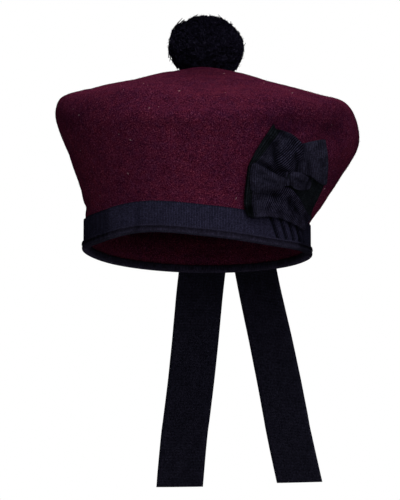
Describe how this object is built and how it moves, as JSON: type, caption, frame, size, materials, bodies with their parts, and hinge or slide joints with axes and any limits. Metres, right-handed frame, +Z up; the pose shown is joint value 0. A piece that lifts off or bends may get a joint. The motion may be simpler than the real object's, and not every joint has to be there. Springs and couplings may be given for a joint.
{
  "type": "balmoral bonnet",
  "caption": "Soft felt bonnet with a ribbon headband, a folded ribbon cockade on the side, a wool toorie on top and ribbon tails hanging at the back.",
  "frame": {"origin": "centre of the head opening, level with the lower edge at the brow", "axes": "+Z up out of the head, -Y towards the brow, +X towards the wearer's left"},
  "size_m": [0.247, 0.2634, 0.3717],
  "materials": {
    "felt": "milled wool felt",
    "ribbon": "ribbed ribbon",
    "binding": "folded ribbed ribbon",
    "cockade": "ribbed ribbon",
    "wool": "cut wool yarn",
    "tails": "ribbed ribbon"
  },
  "bodies": {
    "root": {"crown": "felt", "band": "ribbon", "edge_binding": "binding", "cockade_back": "cockade", "cockade_bow": "cockade", "toorie": "wool", "tail_left": "tails", "tail_right": "tails"}
  },
  "joints": []
}
